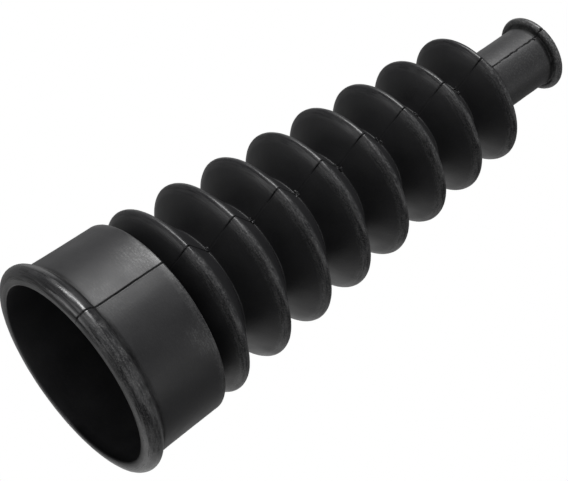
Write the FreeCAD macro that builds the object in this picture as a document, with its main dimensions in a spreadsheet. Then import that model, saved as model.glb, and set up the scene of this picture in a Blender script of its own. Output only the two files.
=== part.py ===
import FreeCAD, Part
import math
import os
import Sketcher

# Rubber bellows boot, moulded as one piece: a wide cuff with a beaded mouth,
# eight folds that get smaller, and a narrow neck with a beaded end.
# It stands on its mouth. Z is its axis, and Z = 0 is the mouth face.
# The outside is one outline, revolved. The hollow is a second outline, grooved
# out of it. The edges of both openings are rounded last.

# Each row is a name, a size in millimetres and what it measures
SIZES = [
    ("total_length", 166.7, "mouth face to end face"),
    ("mouth_bead_dia", 60.0, "outside of the bead round the mouth"),
    ("mouth_bead_stand", 2.15, "how far that bead stands out from the cuff"),
    ("mouth_bead_round", 2.6, "radius of that bead's section"),
    ("mouth_lip_round", 0.35, "rounding of the bore's edge at the mouth"),
    ("cuff_wall", 2.2, "wall of the cuff beside the bead"),
    ("cuff_taper", 0.55, "how far the cuff draws in from the bead to the shoulder"),
    ("shoulder_height", 26.65, "mouth face to the end of the cuff"),
    ("shoulder_round", 0.5, "rounding of the shoulder's edge"),
    ("cuff_corner_round", 1.2, "rounding inside the cuff under the shoulder"),
    ("first_rise", 7.68, "the end of the cuff to the largest fold's crest"),
    ("fall_share", 0.5265, "a crest to the valley above it, as a share of the pitch"),
    ("neck_length", 20.0, "the last valley to the end face"),
    ("first_crest_dia", 53.4, "outside of the largest fold"),
    ("first_valley_dia", 35.6, "outside of the valley at the shoulder"),
    ("dia_step", 2.28, "what each fold is smaller than the one below"),
    ("first_crest_round", 1.15, "rounding of the largest crest"),
    ("last_crest_round", 1.0, "rounding of the smallest crest"),
    ("valley_round", 0.3, "rounding of the valleys"),
    ("fold_wall", 1.6, "wall round a valley"),
    ("crest_wall", 2.3, "wall at a crest"),
    ("inner_crest_round", 0.4, "rounding inside a crest"),
    ("neck_dia", 17.8, "outside of the neck"),
    ("neck_bore_dia", 13.8, "inside of the neck"),
    ("neck_round", 0.6, "rounding where the last fold meets the neck"),
    ("end_bead_dia", 22.1, "outside of the bead round the end"),
    ("end_bead_round", 1.15, "radius of that bead's section"),
    ("end_lip_round", 0.6, "rounding of the bore's edge at the end"),
    ("bead_blend_round", 0.6, "rounding where a bead meets its wall"),
    ("bead_blend_run", 0.1, "straight run between a bead and that rounding"),
]
FOLDS = 8

# Sizes that follow from those above: a name, a formula and what it measures
FOLLOWING = [
    ("cuff_dia", "mouth_bead_dia - 2 * mouth_bead_stand", "outside of the cuff beside the bead"),
    ("shoulder_dia", "cuff_dia - 2 * cuff_taper", "outside of the cuff at the shoulder"),
    ("mouth_bore_dia", "cuff_dia - 2 * cuff_wall", "inside of the cuff"),
    ("first_crest_height", "shoulder_height + first_rise", "mouth face to the largest crest"),
    ("folds_run", "total_length - neck_length - first_crest_height", "first crest to last valley"),
    ("fold_pitch", f"folds_run / ({FOLDS - 1} + fall_share)", "one crest to the next"),
    ("fold_fall", "fold_pitch * fall_share", "a crest to the valley above it"),
]

doc = FreeCAD.newDocument("bellows_boot")


def make_sheet():
    """Write the sizes to a sheet, each with its name as its alias."""
    sizes = doc.addObject("Spreadsheet::Sheet", "Sizes")
    rows = [(alias, str(size), meaning) for alias, size, meaning in SIZES]
    rows += [(alias, f"={formula}", meaning) for alias, formula, meaning in FOLLOWING]
    for row, (alias, content, meaning) in enumerate(rows, start=1):
        sizes.set(f"A{row}", alias)
        sizes.set(f"B{row}", content)
        sizes.set(f"C{row}", meaning)
        sizes.setAlias(f"B{row}", alias)
    doc.recompute()
    return sizes


sheet = make_sheet()


def on_sheet(formula):
    """The formula with each size's name made a reference to the sheet."""
    names = {row[0] for row in SIZES + FOLLOWING}
    words = formula.replace("(", "( ").replace(")", " )").split()
    return " ".join(f"Sizes.{word}" if word in names else word for word in words)


def present_value(formula):
    """What a formula on the sheet comes to now, in millimetres."""
    return float(sheet.evalExpression(on_sheet(formula)))


class Outline:
    """A closed outline of points and arcs, each joined to the next by a line.

    X is the distance from the axis and Z the height. Both, and each radius,
    are formulas on the sheet. The outline runs up from the mouth with its
    inside on the left, and a line that meets an arc is tangent to it.
    """

    def __init__(self):
        self.corners = []

    def point(self, x, z):
        """A sharp corner."""
        self.corners.append((x, z, "0", 1))

    def left(self, x, z, radius):
        """An arc that turns left, with its centre inside the outline."""
        self.corners.append((x, z, radius, 1))

    def right(self, x, z, radius):
        """An arc that turns right, with its centre outside the outline."""
        self.corners.append((x, z, radius, -1))

    def draw(self, sketch):
        """Draw the outline in a sketch and tie its sizes to the sheet."""
        count = len(self.corners)
        ends = [
            tangent_line(self.corners[i], self.corners[(i + 1) % count])
            for i in range(count)
        ]
        lines = sketch.addGeometry([Part.LineSegment(*pair) for pair in ends], False)
        for i, corner in enumerate(self.corners):
            before = lines[i - 1]
            after = lines[i]
            if corner[2] == "0":
                sketch.addConstraint(Sketcher.Constraint("Coincident", before, 2, after, 1))
                tie_place(sketch, after, 1, corner)
            else:
                curve = arc_between(corner, ends[i - 1][1], ends[i][0])
                arc = sketch.addGeometry(curve, False)
                first, last = (1, 2) if corner[3] > 0 else (2, 1)
                sketch.addConstraint(Sketcher.Constraint("Tangent", before, 2, arc, first))
                sketch.addConstraint(Sketcher.Constraint("Tangent", arc, last, after, 1))
                tie_place(sketch, arc, 3, corner)
                tie(sketch, Sketcher.Constraint("Radius", arc, present_value(corner[2])), corner[2])


def tangent_line(here, there):
    """Both ends of the line that leaves one corner and meets the next."""
    x0, z0, radius0 = (present_value(formula) for formula in here[:3])
    x1, z1, radius1 = (present_value(formula) for formula in there[:3])
    side0 = here[3] * radius0
    side1 = there[3] * radius1
    gap = math.hypot(x1 - x0, z1 - z0)
    heading = math.atan2(z1 - z0, x1 - x0) - math.asin((side1 - side0) / gap)
    right = FreeCAD.Vector(math.sin(heading), -math.cos(heading), 0)
    start = FreeCAD.Vector(x0, z0, 0) + right * side0
    end = FreeCAD.Vector(x1, z1, 0) + right * side1
    return start, end


def arc_between(corner, arrives, leaves):
    """A corner's arc, between the lines that meet it."""
    x, z, radius, turn = corner
    centre = FreeCAD.Vector(present_value(x), present_value(z), 0)
    circle = Part.Circle(centre, FreeCAD.Vector(0, 0, 1), present_value(radius))
    start, end = (arrives, leaves) if turn > 0 else (leaves, arrives)
    angles = [math.atan2(point.y - centre.y, point.x - centre.x) for point in (start, end)]
    return Part.ArcOfCircle(circle, *angles)


def tie_place(sketch, item, end, corner):
    """Hold a corner's point or centre at its distance and height."""
    for kind, axis, formula in (("DistanceX", -2, corner[0]), ("DistanceY", -1, corner[1])):
        if formula == "0":
            sketch.addConstraint(Sketcher.Constraint("PointOnObject", item, end, axis))
        else:
            size = present_value(formula)
            tie(sketch, Sketcher.Constraint(kind, -1, 1, item, end, size), formula)


def tie(sketch, constraint, formula):
    """Add a constraint whose size follows a formula on the sheet."""
    index = sketch.addConstraint(constraint)
    sketch.setExpression(f"Constraints[{index}]", on_sheet(formula))


def fold_step(number):
    """How far a fold's radius is below the first fold's."""
    return f"{number} * dia_step / 2"


def crest_height(number):
    return f"first_crest_height + {number} * fold_pitch"


def valley_height(number):
    """Height of the valley under a fold. The first one is at the shoulder."""
    if number == 0:
        return "shoulder_height + valley_round"
    return f"{crest_height(number - 1)} + fold_fall"


def valley_centre(number):
    """The centre of a valley's rounding, from the axis."""
    return f"first_valley_dia / 2 - {fold_step(number)} + valley_round"


def crest_round(number):
    """A crest's rounding, which shrinks evenly from the first to the last."""
    share = f"{number} / {FOLDS - 1}"
    return f"( first_crest_round + ( last_crest_round - first_crest_round ) * {share} )"


def bead_depth(bead_round):
    """A bead's face to the centre of the rounding where it meets its wall."""
    return f"( 2 * {bead_round} + bead_blend_run + bead_blend_round )"


def outside():
    """The outside: mouth bead, cuff, folds, neck and end bead."""
    outline = Outline()
    outline.point("0", "0")
    bead = "mouth_bead_round"
    outline.left(f"mouth_bead_dia / 2 - {bead}", bead, bead)
    blend = "bead_blend_round"
    outline.right(f"cuff_dia / 2 + {blend}", bead_depth(bead), blend)
    edge = "shoulder_round"
    outline.left(f"shoulder_dia / 2 - {edge}", f"shoulder_height - {edge}", edge)
    for number in range(FOLDS):
        outline.right(valley_centre(number), valley_height(number), "valley_round")
        crest = crest_round(number)
        centre = f"first_crest_dia / 2 - {fold_step(number)} - {crest}"
        outline.left(centre, crest_height(number), crest)
    outline.right("neck_dia / 2 + neck_round", valley_height(FOLDS), "neck_round")
    bead = "end_bead_round"
    outline.right(f"neck_dia / 2 + {blend}", f"total_length - {bead_depth(bead)}", blend)
    outline.left(f"end_bead_dia / 2 - {bead}", f"total_length - {bead}", bead)
    outline.point("0", "total_length")
    return outline


def hollow():
    """The hollow: cuff bore, the inside of the folds and neck bore."""
    outline = Outline()
    outline.point("0", "0")
    outline.point("mouth_bore_dia / 2", "0")
    corner = "cuff_corner_round"
    ceiling = "shoulder_height - fold_wall"
    outline.left(f"mouth_bore_dia / 2 - {corner}", f"{ceiling} - {corner}", corner)
    for number in range(FOLDS):
        outline.right(valley_centre(number), valley_height(number), "valley_round + fold_wall")
        inner = "inner_crest_round"
        centre = f"first_crest_dia / 2 - {fold_step(number)} - crest_wall - {inner}"
        outline.left(centre, crest_height(number), inner)
    neck_wall = "( neck_dia - neck_bore_dia ) / 2"
    outline.right("neck_dia / 2 + neck_round", valley_height(FOLDS), f"neck_round + {neck_wall}")
    outline.point("neck_bore_dia / 2", "total_length")
    outline.point("0", "total_length")
    return outline


def turn_outline(body, kind, name, outline):
    """Sketch an outline on the XZ plane and turn it about the upright axis."""
    sketch = body.newObject("Sketcher::SketchObject", f"{name}Outline")
    plane = next(item for item in body.Origin.OriginFeatures if item.Role == "XZ_Plane")
    sketch.AttachmentSupport = [(plane, "")]
    sketch.MapMode = "FlatFace"
    outline.draw(sketch)
    feature = body.newObject(kind, name)
    feature.Profile = sketch
    feature.ReferenceAxis = (sketch, ["V_Axis"])
    feature.Angle = 360
    sketch.Visibility = False
    doc.recompute()
    return feature


def round_opening(body, name, dia, height, radius):
    """Round the edge of a bore where it opens at a height."""
    base = body.Tip
    bore_radius = present_value(dia) / 2
    opening = present_value(height)
    edges = [
        f"Edge{index}"
        for index, edge in enumerate(base.Shape.Edges, start=1)
        if isinstance(edge.Curve, Part.Circle)
        and math.isclose(edge.Curve.Radius, bore_radius, abs_tol=0.001)
        and math.isclose(edge.Curve.Center.z, opening, abs_tol=0.001)
    ]
    fillet = body.newObject("PartDesign::Fillet", name)
    fillet.Base = (base, edges)
    fillet.setExpression("Radius", on_sheet(radius))
    doc.recompute()


def make_boot():
    """Turn the outside, groove the hollow and round its two openings."""
    body = doc.addObject("PartDesign::Body", "BellowsBoot")
    body.Label = "bellows_boot"
    body.Placement = FreeCAD.Placement()
    solid = turn_outline(body, "PartDesign::Revolution", "Outside", outside())
    wall = turn_outline(body, "PartDesign::Groove", "Hollow", hollow())
    if wall.Shape.Volume >= solid.Shape.Volume:
        raise RuntimeError("the hollow was not cut out")
    round_opening(body, "MouthLip", "mouth_bore_dia", "0", "mouth_lip_round")
    round_opening(body, "EndLip", "neck_bore_dia", "total_length", "end_lip_round")
    return body


def check_document():
    """Stop where any object failed to recompute."""
    for item in doc.Objects:
        if "Invalid" in item.State or "Error" in item.State:
            raise RuntimeError(f"{item.Label} failed: {item.State}")


def export(body):
    """Check a body's shape and write it under its node's name."""
    shape = body.Shape
    if shape.isNull() or not shape.isValid() or len(shape.Solids) != 1:
        raise RuntimeError(f"{body.Label} has no valid single solid")
    os.makedirs("parts", exist_ok=True)
    shape.exportStep(os.path.join("parts", f"{body.Label}.step"))
    print(body.Label, "volume", round(shape.Volume / 1000, 2), "cm3")


boot = make_boot()
check_document()
export(boot)
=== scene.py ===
import math
import random
from collections import namedtuple

import bpy
from mathutils import Matrix, Quaternion, Vector, noise


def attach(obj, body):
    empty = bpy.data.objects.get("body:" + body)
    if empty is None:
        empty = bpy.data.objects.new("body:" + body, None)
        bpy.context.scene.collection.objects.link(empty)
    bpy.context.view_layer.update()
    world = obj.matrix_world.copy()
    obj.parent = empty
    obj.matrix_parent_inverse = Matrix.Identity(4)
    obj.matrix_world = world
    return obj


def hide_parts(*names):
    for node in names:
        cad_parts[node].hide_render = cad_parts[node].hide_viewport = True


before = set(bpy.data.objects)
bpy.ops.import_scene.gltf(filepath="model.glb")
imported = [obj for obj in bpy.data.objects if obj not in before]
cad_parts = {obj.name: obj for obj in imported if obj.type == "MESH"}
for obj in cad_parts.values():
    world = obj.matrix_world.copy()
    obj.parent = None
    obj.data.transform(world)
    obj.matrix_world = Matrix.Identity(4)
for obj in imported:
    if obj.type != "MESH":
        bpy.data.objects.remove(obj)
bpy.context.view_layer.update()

# Metres in a millimetre: sizes are in millimetres where a comment doesn't say otherwise
MM = 0.001

# Sizes of the boot, the same as in the CAD source
TOTAL_LENGTH = 166.7
MOUTH_BEAD_DIA = 60.0
MOUTH_BEAD_STAND = 2.15
MOUTH_BEAD_ROUND = 2.6
MOUTH_LIP_ROUND = 0.35
CUFF_WALL = 2.2
CUFF_TAPER = 0.55
SHOULDER_HEIGHT = 26.65
SHOULDER_ROUND = 0.5
CUFF_CORNER_ROUND = 1.2
FIRST_RISE = 7.68
FALL_SHARE = 0.5265
NECK_LENGTH = 20.0
FIRST_CREST_DIA = 53.4
FIRST_VALLEY_DIA = 35.6
DIA_STEP = 2.28
FIRST_CREST_ROUND = 1.15
LAST_CREST_ROUND = 1.0
VALLEY_ROUND = 0.3
FOLD_WALL = 1.6
CREST_WALL = 2.3
INNER_CREST_ROUND = 0.4
NECK_DIA = 17.8
NECK_BORE_DIA = 13.8
NECK_ROUND = 0.6
END_BEAD_DIA = 22.1
END_BEAD_ROUND = 1.15
END_LIP_ROUND = 0.6
BEAD_BLEND_ROUND = 0.6
BEAD_BLEND_RUN = 0.1
FOLDS = 8

# Sizes that follow from them
CUFF_DIA = MOUTH_BEAD_DIA - 2 * MOUTH_BEAD_STAND
SHOULDER_DIA = CUFF_DIA - 2 * CUFF_TAPER
MOUTH_BORE_DIA = CUFF_DIA - 2 * CUFF_WALL
FIRST_CREST_HEIGHT = SHOULDER_HEIGHT + FIRST_RISE
FOLD_PITCH = (TOTAL_LENGTH - NECK_LENGTH - FIRST_CREST_HEIGHT) / (FOLDS - 1 + FALL_SHARE)
FOLD_FALL = FOLD_PITCH * FALL_SHARE

# How finely the skin is cut: steps along straight stretches, the most degrees of a step round a
# corner, and the fewest steps round one
OUTER_STEP = 1.0
INNER_STEP = 2.6
NECK_STEP = 0.4
OUTER_TURN = 11.0
INNER_TURN = 24.0
LEAST_STEPS = 2

# The skin's columns: some close to each parting line, at these distances from it, and the rest
# evenly spread between the lines, from an angle in degrees that is clear of them
SEAM_ANGLES = (-90.0, 90.0)
SEAM_OFFSETS = (0.0, 0.07, 0.14, 0.21, 0.32, 0.52, 0.85)
SEAM_CLEAR_ANGLE = 8.0
COLUMNS_BETWEEN = 58

# The soft mouth's lean: its rise for each millimetre across, the height at which it has faded out,
# the side, in degrees, that stays down, and how far out on that side the rise is nothing
MOUTH_LEAN = 0.0275
MOUTH_LEAN_HEIGHT = 20.0
LEAN_TOWARDS = -89.0
LEAN_REACH = 28.0

# Noise in the shapes: how fast its octaves weaken, how much finer each is, and how many there are
OCTAVES_FALL = 0.5
OCTAVES_FINER = 2.0
OCTAVES = 3

# Waves of the moulded outside: how deep they are on average, how much that varies, and their scale
WAVES = ((0.035, 0.035, 0.11), (0.01, 0.02, 0.5))
WAVE_OCTAVES = 2

# Grooves of the parting lines, with a low lip beside them; on the neck they are shallower, with none
SEAM_DEPTH = 0.24
SEAM_HALF_WIDTH = 0.15
SEAM_LIP = 0.045
SEAM_LIP_AWAY = 0.34
SEAM_LIP_WIDTH = 0.14
SEAM_REACH = 1.6
SEAM_LEAST = 0.35
NECK_SEAM_FROM = 146.0
NECK_SEAM_SHARE = 0.5

# What varies up a parting line: by how much, the place of its line of noise, and its scale
SEAM_WANDER = (0.06, (0.0, 7.0), 0.35)
NECK_WANDER = (0.22, (5.0, 9.0), 0.8)
SEAM_UNEVEN = (0.45, (3.0, 5.0), 0.9)
NECK_UNEVEN = (0.9, (3.0, 5.0), 0.9)

# The parting line is all but gone on the lower part of the flanks that face the mouth
GONE_SHARE = 0.94
GONE_TO = 0.4
GONE_FADE = 0.5

# Within this distance of its two end faces the skin has no relief
END_KEEP = 0.01

# Crumbs of flash: how many lie at each parting line of a valley, the least and the most of each
# measure, and how torn they are
CRUMBS_EACH = 3
CRUMB_RADIUS = (0.38, 0.66)
CRUMB_ACROSS = (-0.9, 1.1)
CRUMB_ALONG = (-0.5, 0.6)
CRUMB_OUT = (-0.2, 0.15)
CRUMB_TORN = 0.9
CRUMB_SCALE = 2.2
CRUMB_LEAST = 0.7
RANDOM_SEED = 7

# Crumbs at the parting line of the end bead: place and radius
END_CRUMBS = (((-0.25, -11.15, 165.3), 0.32), ((0.3, -8.9, 163.0), 0.35))

# Wear on rounded edges: polished on the side left of the near parting line, grainy on the right,
# where its chalk specks are partly painted sparkle
EDGE_WIDTH = 0.7
RIGHT_FROM = 0.5
RIGHT_FADE = 3.0
RIGHT_LESS_POLISH = 0.55
LEFT_GRAIN = 0.1
BEAD_POLISH = 1.7
BEAD_POLISH_TO = 8.0

# Chalk on the cuff: angle in degrees, height, reach and strength of each scuff
SCUFFS = (
    (-98.0, 24.8, 2.6, 1.0),
    (-104.0, 23.0, 3.6, 0.7),
    (-92.8, 25.2, 1.6, 0.8),
    (-94.5, 20.5, 2.6, 0.4),
    (-92.5, 9.0, 4.0, 0.3),
    (-50.0, 22.5, 2.4, 0.3),
    (-42.0, 23.8, 1.8, 0.35),
)

# Chalk on the neck and its bead
NECK_CHALK = 0.2
END_BEAD_CHALK = 0.8
END_BEAD_FROM = 164.0

# Painted shade that keeps the rubber dark: behind the beads, on the flanks, in the gap between
# shoulder and first crest, on the mouth's lip and in the parting lines
CREVICE_DARK = 0.8
CREVICE_REACH = 0.9
CREVICE_WIDTH = 0.2
FLANK_DARK = 0.2
GAP_DARK = 0.6
GAP_DARK_FROM = 0.15
GAP_DARK_FADE = 0.5
LIP_DARK = 0.85
LIP_DARK_FADE = 2.0
SEAM_DARK_WIDTH = 0.2

# The streaks' space, drawn out along the rings: the radius of a ring in it, and how far it is for
# each millimetre outwards and upwards
STREAKS_ROUND = 4.0
STREAKS_OUT = 1.6
STREAKS_UP = 0.9

# Noise in the rubber: scale and detail of each kind, the last two in the streaks' space
BLOTCHES = (140.0, 4.0)
CLOUDS = (420.0, 3.0)
GRAINS = (2400.0, 2.0)
DOTS = (2600.0, 1.0)
BROAD_STREAKS = (1.1, 3.0)
FINE_STREAKS = (4.0, 4.0)

# The part of that noise that counts: nothing changes below the first value or above the second.
# For the blotches that is so in the roughness, and the colour follows all of them
BLOTCHES_RANGE = (0.3, 0.7)
DOTS_RANGE = (0.34, 0.72)
BROAD_STREAKS_RANGE = (0.35, 0.65)
FINE_STREAKS_RANGE = (0.36, 0.62)

# Colours
BLACK = (0.0080, 0.0080, 0.0090, 1)
LIGHTER_BLACK = (0.0160, 0.0160, 0.0170, 1)
CHALK = (0.20, 0.20, 0.20, 1)
HAZE = (0.35, 0.35, 0.35, 1)
# Painted shade: the near black that the seam mark blends the rubber towards
PAINTED_SHADE_COLOUR = (0.002, 0.002, 0.002, 1)
PALE = (0.80, 0.80, 0.80, 1)
WHITE = (1, 1, 1, 1)

# How far the marks change the rubber's colour; on the grainy edges the chalk is partly wear and
# partly painted sparkle of the crest highlights
CHALK_ON_SCUFFS = 0.6
CHALK_AND_PAINTED_SPARKLE_ON_GRAINY = 0.30
CHALK_ANYWHERE = 0.03
HAZE_ON_SCUFFS = 0.08
# How far the painted shade of the seam mark darkens the colour
PAINTED_SHADE_STRENGTH = 0.85

# The rubber's roughness and specular level, and how far polish and streaks change them
LEAST_ROUGH = 0.40
MOST_ROUGH = 0.50
POLISH_SMOOTHS = 0.12
STREAKS_ROUGHEN = 0.06
UNSHADED_GLOSS = 0.25
# The specular level under the painted shade
PAINTED_SHADE_GLOSS = 0.03
POLISH_GLOSS = 0.09
STREAKS_GLOSS = 0.12

# The rubber's grain: how much the clouds add to it, its strength, and its height in metres
CLOUDS_IN_GRAIN = 0.6
GRAIN_STRENGTH = 0.22
GRAIN_HEIGHT = 0.0001

# The floor, in metres, and the light of its own that only the camera sees
FLOOR_SIZE = 3.0
FLOOR_DROP = 0.0002
FLOOR_LIFT = 0.42

# The white backdrop that the sheen mirrors: the way to it, where it begins and where it is fully
# white, as cosines of the angle from that way, and the level all round it
BACKDROP_TOWARDS = (0.18, 0.95, -0.18)
BACKDROP_FROM = 0.78
BACKDROP_FULL = 0.95
ROUND_LEVEL = 0.285

# Soft lamps: a name, the way to it, its width in metres and its level
LAMPS = (
    ("key_high", (-0.39, -0.80, 0.45), 0.75, 0.78),
    ("key_side", (-0.68, -0.69, 0.24), 0.75, 0.38),
    ("top_left", (-0.80, -0.46, 0.38), 1.5, 0.14),
    ("top_front", (-0.13, -0.97, 0.22), 1.5, 0.17),
    ("top_right", (0.37, -0.80, 0.48), 1.5, 0.06),
    ("left", (-0.38, -0.04, -0.92), 1.5, 0.26),
    ("left_front", (-0.31, -0.85, -0.43), 1.5, 0.127),
    ("mouth_front", (0.0, -0.57, -0.82), 1.5, 0.12),
    ("low_right", (0.86, -0.40, -0.32), 1.5, 0.19),
    ("right", (0.88, -0.20, 0.42), 1.5, 0.15),
    ("low_back", (0.13, 0.77, -0.62), 1.5, 0.04),
    ("top_back", (-0.79, 0.32, 0.52), 1.5, 0.035),
)

# Where the lamps aim and how far off they are, in metres
LAMP_AIM = (0, 0, 0.075)
LAMP_DISTANCE = 3.0

# The photograph's camera, in the row frame: places in metres, roll in degrees
CAMERA_PLACE = (0.157919, -0.423631, -0.156841)
CAMERA_TARGET = (0.002746, 0.001004, 0.068681)
CAMERA_ROLL = 54.864
CAMERA_LENS = 124.372
SENSOR_WIDTH = 36.0

# A rounded corner of the section: its centre, its radius, and 1 for a left turn or -1 for a right
Corner = namedtuple("Corner", "x z radius turn")

# A point of the section, and whether it is outside or on the mouth's lip
Point = namedtuple("Point", "radius height outer lip")

# What the mesh carries at a point for the material
# The seam mark is painted shade: it darkens the parting lines, behind the beads, the flanks, the
# first gap and the mouth's lip
Marks = namedtuple("Marks", "seam polished grainy scuffed streaks")


def crest_height(number):
    """The height of a fold's crest. The folds are numbered from 0, next to the cuff."""
    return FIRST_CREST_HEIGHT + number * FOLD_PITCH


def valley_height(number):
    """The height of the valley below a fold, or with the number of folds, of the neck's foot."""
    if number == 0:
        return SHOULDER_HEIGHT + VALLEY_ROUND
    return crest_height(number - 1) + FOLD_FALL


def valley_centre(number):
    """How far the centre of a valley's rounding is from the axis."""
    return (FIRST_VALLEY_DIA - number * DIA_STEP) / 2 + VALLEY_ROUND


def crest_radius(number):
    """How far a fold's crest is from the axis."""
    return (FIRST_CREST_DIA - number * DIA_STEP) / 2


def crest_round(number):
    """The radius of a crest's rounding, which shrinks evenly from fold to fold."""
    share = number / (FOLDS - 1)
    return FIRST_CREST_ROUND + (LAST_CREST_ROUND - FIRST_CREST_ROUND) * share


def bead_depth(bead_round):
    """A bead's face to the centre of the rounding where it meets its wall."""
    return 2 * bead_round + BEAD_BLEND_RUN + BEAD_BLEND_ROUND


def left(x, z, radius):
    """A corner that turns left."""
    return Corner(x, z, radius, 1)


def right(x, z, radius):
    """A corner that turns right."""
    return Corner(x, z, radius, -1)


def outside_corners():
    """The section's corners up the outside, with the rubber on the left."""
    bead = MOUTH_BEAD_ROUND
    blend = BEAD_BLEND_ROUND
    shoulder = SHOULDER_ROUND
    corners = [
        left(MOUTH_BEAD_DIA / 2 - bead, bead, bead),
        right(CUFF_DIA / 2 + blend, bead_depth(bead), blend),
        left(SHOULDER_DIA / 2 - shoulder, SHOULDER_HEIGHT - shoulder, shoulder),
    ]
    for number in range(FOLDS):
        crest = crest_round(number)
        corners.append(right(valley_centre(number), valley_height(number), VALLEY_ROUND))
        corners.append(left(crest_radius(number) - crest, crest_height(number), crest))
    bead = END_BEAD_ROUND
    corners += [
        right(NECK_DIA / 2 + NECK_ROUND, valley_height(FOLDS), NECK_ROUND),
        right(NECK_DIA / 2 + blend, TOTAL_LENGTH - bead_depth(bead), blend),
        left(END_BEAD_DIA / 2 - bead, TOTAL_LENGTH - bead, bead),
    ]
    return corners


def inside_corners():
    """The section's corners down the inside, with the rubber on the left."""
    lip = END_LIP_ROUND
    neck_wall = (NECK_DIA - NECK_BORE_DIA) / 2
    corners = [
        left(NECK_BORE_DIA / 2 + lip, TOTAL_LENGTH - lip, lip),
        left(NECK_DIA / 2 + NECK_ROUND, valley_height(FOLDS), NECK_ROUND + neck_wall),
    ]
    crest = INNER_CREST_ROUND
    valley = VALLEY_ROUND + FOLD_WALL
    for number in reversed(range(FOLDS)):
        corners.append(right(crest_radius(number) - CREST_WALL - crest, crest_height(number), crest))
        corners.append(left(valley_centre(number), valley_height(number), valley))
    corner = CUFF_CORNER_ROUND
    corners += [
        right(MOUTH_BORE_DIA / 2 - corner, SHOULDER_HEIGHT - FOLD_WALL - corner, corner),
        left(MOUTH_BORE_DIA / 2 + MOUTH_LIP_ROUND, MOUTH_LIP_ROUND, MOUTH_LIP_ROUND),
    ]
    return corners


def tangent_line(here, there):
    """Both ends of the line that leaves one corner and meets the next."""
    side0 = here.turn * here.radius
    side1 = there.turn * there.radius
    across = there.x - here.x
    rise = there.z - here.z
    heading = math.atan2(rise, across) - math.asin((side1 - side0) / math.hypot(across, rise))
    x = math.sin(heading)
    z = -math.cos(heading)
    start = (here.x + x * side0, here.z + z * side0)
    end = (there.x + x * side1, there.z + z * side1)
    return start, end


def arc_places(corner, arrive, leave, most_turn):
    """Places round a corner, from where the section arrives to where it leaves."""
    first = math.atan2(arrive[1] - corner.z, arrive[0] - corner.x)
    swing = math.atan2(leave[1] - corner.z, leave[0] - corner.x) - first
    swing = corner.turn * ((corner.turn * swing) % (2 * math.pi))
    steps = max(LEAST_STEPS, math.ceil(math.degrees(abs(swing)) / most_turn))
    places = []
    for step in range(steps + 1):
        angle = first + swing * step / steps
        x = corner.x + corner.radius * math.cos(angle)
        z = corner.z + corner.radius * math.sin(angle)
        places.append((x, z))
    return places


def line_places(start, end, spacing):
    """Places along a straight stretch, without its ends."""
    across = end[0] - start[0]
    rise = end[1] - start[1]
    steps = max(1, round(math.hypot(across, rise) / spacing))
    shares = [step / steps for step in range(1, steps)]
    return [(start[0] + across * share, start[1] + rise * share) for share in shares]


def section_points(outside):
    """Points along the closed section, up the outside and down the inside."""
    corners = outside + inside_corners()
    lines = [tangent_line(*pair) for pair in zip(corners, corners[1:] + corners[:1])]
    points = []
    for number, corner in enumerate(corners):
        outer = number < len(outside)
        lip = number == len(corners) - 1
        arrive = lines[number - 1][1]
        leave, end = lines[number]
        most_turn = OUTER_TURN if outer else INNER_TURN
        for x, z in arc_places(corner, arrive, leave, most_turn):
            points.append(Point(x, z, outer, lip))
        spacing = OUTER_STEP if outer else INNER_STEP
        if outer and leave[1] > NECK_SEAM_FROM:
            spacing = NECK_STEP
        for x, z in line_places(leave, end, spacing):
            points.append(Point(x, z, outer, False))
    return points


def column_angles(radius):
    """Angles of the skin's columns at a radius: close together by both parting lines."""
    offsets = [-offset for offset in reversed(SEAM_OFFSETS)] + list(SEAM_OFFSETS[1:])
    span = 180.0 - 2 * SEAM_CLEAR_ANGLE
    angles = []
    for seam in SEAM_ANGLES:
        angles += [seam + math.degrees(offset / radius) for offset in offsets]
        for column in range(COLUMNS_BETWEEN):
            share = column / (COLUMNS_BETWEEN - 1)
            angles.append(seam + SEAM_CLEAR_ANGLE + span * share)
    return angles


def ease(share):
    """0 up to 0, 1 from 1 on, and a smooth rise between."""
    share = max(0.0, min(1.0, share))
    return share * share * (3.0 - 2.0 * share)


def bump_at(distance, width):
    """A smooth hump, 1 at a distance of 0 and nearly 0 beyond twice the width."""
    return math.exp(-((distance / width) ** 2))


def ragged(place, scale, octaves=OCTAVES):
    """Smooth random values about 0."""
    return noise.fractal(place * scale, OCTAVES_FALL, OCTAVES_FINER, octaves)


def ragged_line(place, most, line, scale):
    """Smooth random values about 0 that change with height alone, and differ on both sides."""
    return most * ragged(Vector((line[0], math.copysign(line[1], place.y), place.z)), scale)


def lean_of_mouth(place):
    """How far the soft mouth is pushed up: nothing on one side, most on the other."""
    turn = math.radians(LEAN_TOWARDS)
    away = -(place.x * math.cos(turn) + place.y * math.sin(turn))
    return ease(1.0 - place.z / MOUTH_LEAN_HEIGHT) * MOUTH_LEAN * (away + LEAN_REACH)


def unevenness(place):
    """Slow waviness of moulded rubber, which lies inwards nearly everywhere."""
    depths = [mean + most * ragged(place, scale, WAVE_OCTAVES) for mean, most, scale in WAVES]
    return -sum(depths)


def seam_offset(place):
    """Distance from the parting line, which wanders a little, and more on the neck."""
    wander = ragged_line(place, *SEAM_WANDER)
    if place.z > NECK_SEAM_FROM:
        wander += ragged_line(place, *NECK_WANDER)
    return abs(place.x - wander)


def low_on_near_flank(place):
    """1 low on the flanks that face the mouth, where the parting line is rubbed away."""
    for number in range(FOLDS):
        low = valley_height(number)
        share = (place.z - low) / (crest_height(number) - low)
        if 0.0 < share < 1.0:
            return 1.0 - ease((share - GONE_TO) / GONE_FADE)
    return 0.0


def seam_strength(place):
    """How marked the parting line is at a height: uneven, and rougher on the neck."""
    uneven = NECK_UNEVEN if place.z > NECK_SEAM_FROM else SEAM_UNEVEN
    strength = max(SEAM_LEAST, 1.0 + ragged_line(place, *uneven))
    return strength * (1.0 - GONE_SHARE * low_on_near_flank(place))


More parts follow.
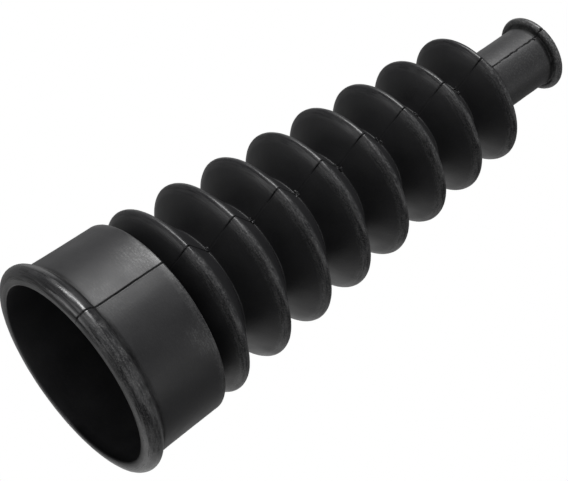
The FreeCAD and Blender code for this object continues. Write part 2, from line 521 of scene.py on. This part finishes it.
def seam_relief(place):
    """How far the outside stands off at the parting line."""
    if abs(place.x) > SEAM_REACH:
        return 0.0
    offset = seam_offset(place)
    groove = -SEAM_DEPTH * seam_strength(place) * bump_at(offset, SEAM_HALF_WIDTH)
    if place.z > NECK_SEAM_FROM:
        return NECK_SEAM_SHARE * groove
    return groove + SEAM_LIP * bump_at(offset - SEAM_LIP_AWAY, SEAM_LIP_WIDTH)


def from_centre(point, corner):
    """How far a point of the section is from a corner's centre."""
    return math.hypot(point.radius - corner.x, point.height - corner.z)


def rubbed(point, edges):
    """1 on the outside's rounded edges, which hands and tools rub, fading away from them."""
    if not point.outer:
        return 0.0
    away = min(from_centre(point, edge) - edge.radius for edge in edges)
    return bump_at(max(0.0, away), EDGE_WIDTH)


def painted_shade_in_hollows(point, worn, hollows):
    """How dark the painted shade makes the outside at a point of the section."""
    if not point.outer:
        return 0.0
    dark = 0.0
    if SHOULDER_HEIGHT < point.height < valley_height(FOLDS):
        dark = FLANK_DARK * (1.0 - worn)
    near = min(from_centre(point, hollow) for hollow in hollows)
    if near < CREVICE_REACH:
        dark = CREVICE_DARK * bump_at(near - BEAD_BLEND_ROUND, CREVICE_WIDTH)
    depth = (crest_height(0) - point.height) / FIRST_RISE
    if 0.0 < depth < 1.0:
        dark = max(dark, GAP_DARK * ease((depth - GAP_DARK_FROM) / GAP_DARK_FADE))
    return dark


def painted_shade_along(point, place):
    """How dark the painted shade makes the mouth's lip and the parting lines."""
    if point.lip:
        return LIP_DARK * ease(place.x / LIP_DARK_FADE)
    if point.outer:
        return bump_at(seam_offset(place), SEAM_DARK_WIDTH) * seam_strength(place)
    return 0.0


def scuffed(point, place):
    """How chalky the outside is."""
    if not point.outer:
        return 0.0
    if point.height > END_BEAD_FROM:
        return END_BEAD_CHALK
    if point.height > NECK_SEAM_FROM:
        return NECK_CHALK
    total = 0.0
    for angle, height, reach, strength in SCUFFS:
        turn = math.radians(angle)
        middle = Vector((math.cos(turn), math.sin(turn), 0)) * CUFF_DIA / 2
        middle.z = height
        total += strength * bump_at((place - middle).length, reach)
    return min(1.0, total)


def streak_place(place):
    """Where a place is in a space that is drawn out along the rings."""
    radius = math.hypot(place.x, place.y)
    x = place.x / radius * STREAKS_ROUND
    y = place.y / radius * STREAKS_ROUND
    return x, y, STREAKS_OUT * radius + STREAKS_UP * place.z


def marks_at(point, place, worn, dark):
    """What the mould and use left at a place, with the painted shade, for the material to show."""
    on_right = ease((place.x - RIGHT_FROM) / RIGHT_FADE)
    polish = 1.0 - RIGHT_LESS_POLISH * on_right
    if point.height < BEAD_POLISH_TO:
        polish *= BEAD_POLISH
    return Marks(
        # The seam mark: painted shade from the hollows, the lip and the parting lines
        seam=min(1.0, max(dark, painted_shade_along(point, place))),
        polished=worn * polish,
        grainy=worn * (LEFT_GRAIN + on_right),
        scuffed=scuffed(point, place),
        streaks=streak_place(place),
    )


def normal_at(points, number):
    """The way out of the rubber at a point of the section."""
    before = points[number - 1]
    after = points[(number + 1) % len(points)]
    along = Vector((after.radius - before.radius, after.height - before.height)).normalized()
    return Vector((along.y, -along.x))


def as_moulded(point, place, out, normal):
    """A place of the true section moved to where the soft, uneven skin has it."""
    place = place.copy()
    if point.outer and END_KEEP < point.height < TOTAL_LENGTH - END_KEEP:
        off = seam_relief(place) + unevenness(place)
        place += (out * normal.x + Vector((0, 0, normal.y))) * off
    place.z += lean_of_mouth(place)
    place.z = max(0.0, min(TOTAL_LENGTH, place.z))
    return place


def ring_faces(rows, columns):
    """Four-sided faces between each ring of places and the next, closed both ways."""
    faces = []
    for row in range(rows):
        above = (row + 1) % rows
        for column in range(columns):
            beside = (column + 1) % columns
            corners = ((row, column), (row, beside), (above, beside), (above, column))
            faces.append([ring * columns + step for ring, step in corners])
    return faces


def carry_marks(mesh, marks):
    """Give the mesh its marks, each under the name that the material reads."""
    # The seam mark carries the painted shade
    for name in ("seam", "polished", "grainy", "scuffed"):
        values = [getattr(mark, name) for mark in marks]
        mesh.attributes.new(name, "FLOAT", "POINT").data.foreach_set("value", values)
    streaks = [value for mark in marks for value in mark.streaks]
    mesh.attributes.new("streaks", "FLOAT_VECTOR", "POINT").data.foreach_set("vector", streaks)


def make_boot():
    """The whole boot as one skin, with the marks that the mould and use left on it, and painted
    shade.
    """
    outside = outside_corners()
    edges = [corner for corner in outside if corner.turn > 0]
    mouth_bead_hollow = outside[1]
    end_bead_hollow = outside[-2]
    points = section_points(outside)
    places = []
    marks = []
    for number, point in enumerate(points):
        normal = normal_at(points, number)
        worn = rubbed(point, edges)
        dark = painted_shade_in_hollows(point, worn, (mouth_bead_hollow, end_bead_hollow))
        for angle in column_angles(point.radius):
            turn = math.radians(angle)
            out = Vector((math.cos(turn), math.sin(turn), 0))
            place = out * point.radius + Vector((0, 0, point.height))
            marks.append(marks_at(point, place, worn, dark))
            places.append(as_moulded(point, place, out, normal) * MM)
    rows = len(points)
    mesh = bpy.data.meshes.new("boot_skin")
    mesh.from_pydata(places, [], ring_faces(rows, len(places) // rows))
    carry_marks(mesh, marks)
    mesh.update()
    for polygon in mesh.polygons:
        polygon.use_smooth = True
    piece = bpy.data.objects.new("boot_skin", mesh)
    bpy.context.collection.objects.link(piece)
    return piece


def crumb(middle, radius):
    """A small torn lump of flash."""
    bpy.ops.mesh.primitive_ico_sphere_add(subdivisions=2, radius=radius * MM)
    lump = bpy.context.object
    for corner in lump.data.vertices:
        torn = CRUMB_TORN * ragged(corner.co / MM + middle, CRUMB_SCALE)
        corner.co = corner.co * max(CRUMB_LEAST, 1.0 + torn) + middle * MM
    return lump


def add_crumbs(boot):
    """Join crumbs of flash to the boot, at both parting lines of the valleys and the end bead."""
    pieces = [boot]
    for number in range(1, FOLDS):
        for side in (-1, 1):
            for _ in range(CRUMBS_EACH):
                radius = random.uniform(*CRUMB_RADIUS)
                across = random.uniform(*CRUMB_ACROSS)
                along = random.uniform(*CRUMB_ALONG)
                out = valley_centre(number) + random.uniform(*CRUMB_OUT)
                middle = Vector((across, side * out, valley_height(number) + along))
                pieces.append(crumb(middle, radius))
    for place, radius in END_CRUMBS:
        pieces.append(crumb(Vector(place), radius))
    bpy.ops.object.select_all(action="DESELECT")
    for piece in pieces:
        piece.select_set(True)
    bpy.context.view_layer.objects.active = boot
    bpy.ops.object.join()


class Nodes:
    """Short ways to add the nodes of a material or a world."""

    def __init__(self, owner):
        owner.use_nodes = True
        self.tree = owner.node_tree

    def feed(self, socket, value):
        """Give an input a plain value, or another node's output."""
        if isinstance(value, bpy.types.NodeSocket):
            self.tree.links.new(value, socket)
        else:
            socket.default_value = value

    def add(self, kind, inputs=None, **settings):
        """A new node of a kind, with its settings and what feeds its inputs."""
        node = self.tree.nodes.new(kind)
        for name, value in settings.items():
            setattr(node, name, value)
        for name, value in (inputs or {}).items():
            self.feed(node.inputs[name], value)
        return node

    def mark(self, name, output="Fac"):
        """A mark that the mesh carries."""
        return self.add("ShaderNodeAttribute", attribute_name=name).outputs[output]

    def specks(self, place, scale, detail):
        """Noise from 0 to 1."""
        inputs = {"Vector": place, "Scale": scale, "Detail": detail}
        return self.add("ShaderNodeTexNoise", inputs).outputs["Fac"]

    def spread(self, value, low, high, to_low=0.0, to_high=1.0):
        """A value between low and high, moved to the range from to_low to to_high."""
        inputs = {
            "Value": value,
            "From Min": low,
            "From Max": high,
            "To Min": to_low,
            "To Max": to_high,
        }
        return self.add("ShaderNodeMapRange", inputs).outputs["Result"]

    def reckon(self, operation, first, second):
        """A sum of the kind named, of outputs or plain numbers."""
        node = self.add("ShaderNodeMath", {0: first, 1: second}, operation=operation)
        return node.outputs["Value"]

    def plus(self, first, second):
        return self.reckon("ADD", first, second)

    def minus(self, first, second):
        return self.reckon("SUBTRACT", first, second)

    def times(self, first, second):
        return self.reckon("MULTIPLY", first, second)

    def larger(self, first, second):
        return self.reckon("MAXIMUM", first, second)

    def shade(self, share, first, second):
        """A colour that goes from the first to the second with the share."""
        node = self.add("ShaderNodeMix", {"Factor": share}, data_type="RGBA")
        inputs = [socket for socket in node.inputs if socket.type == "RGBA"]
        for socket, colour in zip(inputs, (first, second)):
            self.feed(socket, colour)
        return next(socket for socket in node.outputs if socket.type == "RGBA")


def rubber_colour(kit, place, streaks, blotches):
    """Black, with chalk in grains and streaks where it was scuffed, partly painted sparkle on grainy
    crests, and painted shade where the seam mark is.
    """
    chalked = kit.mark("scuffed")
    black = kit.shade(blotches, BLACK, LIGHTER_BLACK)
    dots = kit.spread(kit.specks(place, *DOTS), *DOTS_RANGE)
    lines = kit.spread(kit.specks(streaks, *FINE_STREAKS), *FINE_STREAKS_RANGE)
    amount = kit.times(chalked, CHALK_ON_SCUFFS)
    # Chalk specks on grainy crests: partly wear, partly painted sparkle of the crest highlights
    amount = kit.plus(amount, kit.times(kit.mark("grainy"), CHALK_AND_PAINTED_SPARKLE_ON_GRAINY))
    amount = kit.plus(amount, CHALK_ANYWHERE)
    chalky = kit.shade(kit.times(kit.times(dots, lines), amount), black, CHALK)
    hazy = kit.shade(kit.times(chalked, HAZE_ON_SCUFFS), chalky, HAZE)
    # Painted shade: the seam mark darkens the colour nearly to black
    return kit.shade(kit.times(kit.mark("seam"), PAINTED_SHADE_STRENGTH), hazy, PAINTED_SHADE_COLOUR)


def rubber_roughness(kit, blotches, worn_streaks):
    """Duller and less dull in blotches, smoother where it is polished."""
    rough = kit.spread(blotches, *BLOTCHES_RANGE, LEAST_ROUGH, MOST_ROUGH)
    rough = kit.minus(rough, kit.times(kit.mark("polished"), POLISH_SMOOTHS))
    return kit.plus(rough, kit.times(worn_streaks, STREAKS_ROUGHEN))


def rubber_gloss(kit, worn_streaks):
    """The specular level: more where it is polished, and next to none under the painted shade."""
    # Less gloss under the painted shade of the seam mark
    gloss = kit.spread(kit.mark("seam"), 0.0, 1.0, UNSHADED_GLOSS, PAINTED_SHADE_GLOSS)
    gloss = kit.plus(gloss, kit.times(kit.mark("polished"), POLISH_GLOSS))
    return kit.plus(gloss, kit.times(worn_streaks, STREAKS_GLOSS))


def rubber_grain(kit, place):
    """The fine grain of the mould's surface, as bump."""
    clouds = kit.times(kit.specks(place, *CLOUDS), CLOUDS_IN_GRAIN)
    height = kit.plus(kit.specks(place, *GRAINS), clouds)
    inputs = {"Height": height, "Strength": GRAIN_STRENGTH, "Distance": GRAIN_HEIGHT}
    return kit.add("ShaderNodeBump", inputs).outputs["Normal"]


def rubber():
    """Black moulded rubber with a dull sheen, chalky where it was scuffed, with painted shade and
    painted sparkle.
    """
    material = bpy.data.materials.new("black_rubber")
    kit = Nodes(material)
    place = kit.add("ShaderNodeTexCoord").outputs["Object"]
    streaks = kit.mark("streaks", "Vector")
    blotches = kit.specks(place, *BLOTCHES)
    worn = kit.plus(kit.mark("polished"), kit.mark("grainy"))
    lines = kit.spread(kit.specks(streaks, *BROAD_STREAKS), *BROAD_STREAKS_RANGE, -1.0, 1.0)
    worn_streaks = kit.times(lines, worn)
    surface = kit.tree.nodes["Principled BSDF"].inputs
    kit.feed(surface["Base Color"], rubber_colour(kit, place, streaks, blotches))
    kit.feed(surface["Roughness"], rubber_roughness(kit, blotches, worn_streaks))
    kit.feed(surface["Specular IOR Level"], rubber_gloss(kit, worn_streaks))
    kit.feed(surface["Normal"], rubber_grain(kit, place))
    return material


def pale_floor():
    """A pale floor that shows the boot's shadow, and can be seen through from below."""
    material = bpy.data.materials.new("pale_floor")
    kit = Nodes(material)
    kit.tree.nodes.clear()
    matt = kit.add("ShaderNodeBsdfDiffuse", {"Color": PALE}).outputs["BSDF"]
    camera_ray = kit.add("ShaderNodeLightPath").outputs["Is Camera Ray"]
    lift = {"Strength": kit.times(camera_ray, FLOOR_LIFT)}
    glow = kit.add("ShaderNodeEmission", lift).outputs["Emission"]
    pale = kit.add("ShaderNodeAddShader", {0: matt, 1: glow}).outputs["Shader"]
    clear = kit.add("ShaderNodeBsdfTransparent").outputs["BSDF"]
    under = kit.add("ShaderNodeNewGeometry").outputs["Backfacing"]
    either = kit.add("ShaderNodeMixShader", {"Fac": under, 1: pale, 2: clear}).outputs["Shader"]
    kit.add("ShaderNodeOutputMaterial", {"Surface": either})
    return material


def make_floor():
    """The floor just under the boot, which casts and mirrors nothing on it."""
    bpy.ops.mesh.primitive_plane_add(size=FLOOR_SIZE, location=(0, 0, -FLOOR_DROP))
    floor = bpy.context.object
    floor.name = "floor"
    floor.data.materials.append(pale_floor())
    floor.visible_shadow = False
    floor.visible_diffuse = False
    floor.visible_glossy = False


def make_world():
    """White for the camera, and for the sheen a white backdrop with a low even level round it."""
    world = bpy.data.worlds.new("surroundings")
    bpy.context.scene.world = world
    kit = Nodes(world)
    way = kit.add("ShaderNodeTexCoord").outputs["Generated"]
    ways = {0: way, 1: Vector(BACKDROP_TOWARDS).normalized()}
    facing = kit.add("ShaderNodeVectorMath", ways, operation="DOT_PRODUCT").outputs["Value"]
    level = kit.spread(facing, BACKDROP_FROM, BACKDROP_FULL, ROUND_LEVEL, 1.0)
    rays = kit.add("ShaderNodeLightPath").outputs
    sheen = kit.times(rays["Is Glossy Ray"], level)
    seen = kit.larger(rays["Is Camera Ray"], rays["Is Transmission Ray"])
    background = kit.tree.nodes["Background"].inputs
    kit.feed(background["Color"], WHITE)
    kit.feed(background["Strength"], kit.larger(seen, sheen))


def area_light(name, towards, size, level):
    """A soft square lamp far off in a direction; at level 1 it shows white as white."""
    data = bpy.data.lights.new(name, "AREA")
    data.shape = "SQUARE"
    data.size = size
    data.energy = (math.pi * LAMP_DISTANCE) ** 2 * level
    lamp = bpy.data.objects.new(name, data)
    direction = Vector(towards).normalized()
    lamp.location = Vector(LAMP_AIM) + direction * LAMP_DISTANCE
    lamp.rotation_euler = direction.to_track_quat("Z", "Y").to_euler()
    bpy.context.collection.objects.link(lamp)


def make_camera():
    """The photograph's camera."""
    data = bpy.data.cameras.new("camera")
    data.sensor_width = SENSOR_WIDTH
    data.lens = CAMERA_LENS
    camera = bpy.data.objects.new("camera", data)
    place = Vector(CAMERA_PLACE)
    aim = (Vector(CAMERA_TARGET) - place).to_track_quat("-Z", "Y")
    roll = Quaternion((0, 0, 1), math.radians(CAMERA_ROLL))
    camera.matrix_world = Matrix.Translation(place) @ (aim @ roll).to_matrix().to_4x4()
    bpy.context.collection.objects.link(camera)
    bpy.context.scene.camera = camera


random.seed(RANDOM_SEED)
boot = make_boot()
add_crumbs(boot)
boot.data.materials.append(rubber())
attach(boot, "root")
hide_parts("bellows_boot")

make_floor()
make_world()
for lamp in LAMPS:
    area_light(*lamp)
make_camera()
bpy.context.scene.view_settings.view_transform = "Standard"
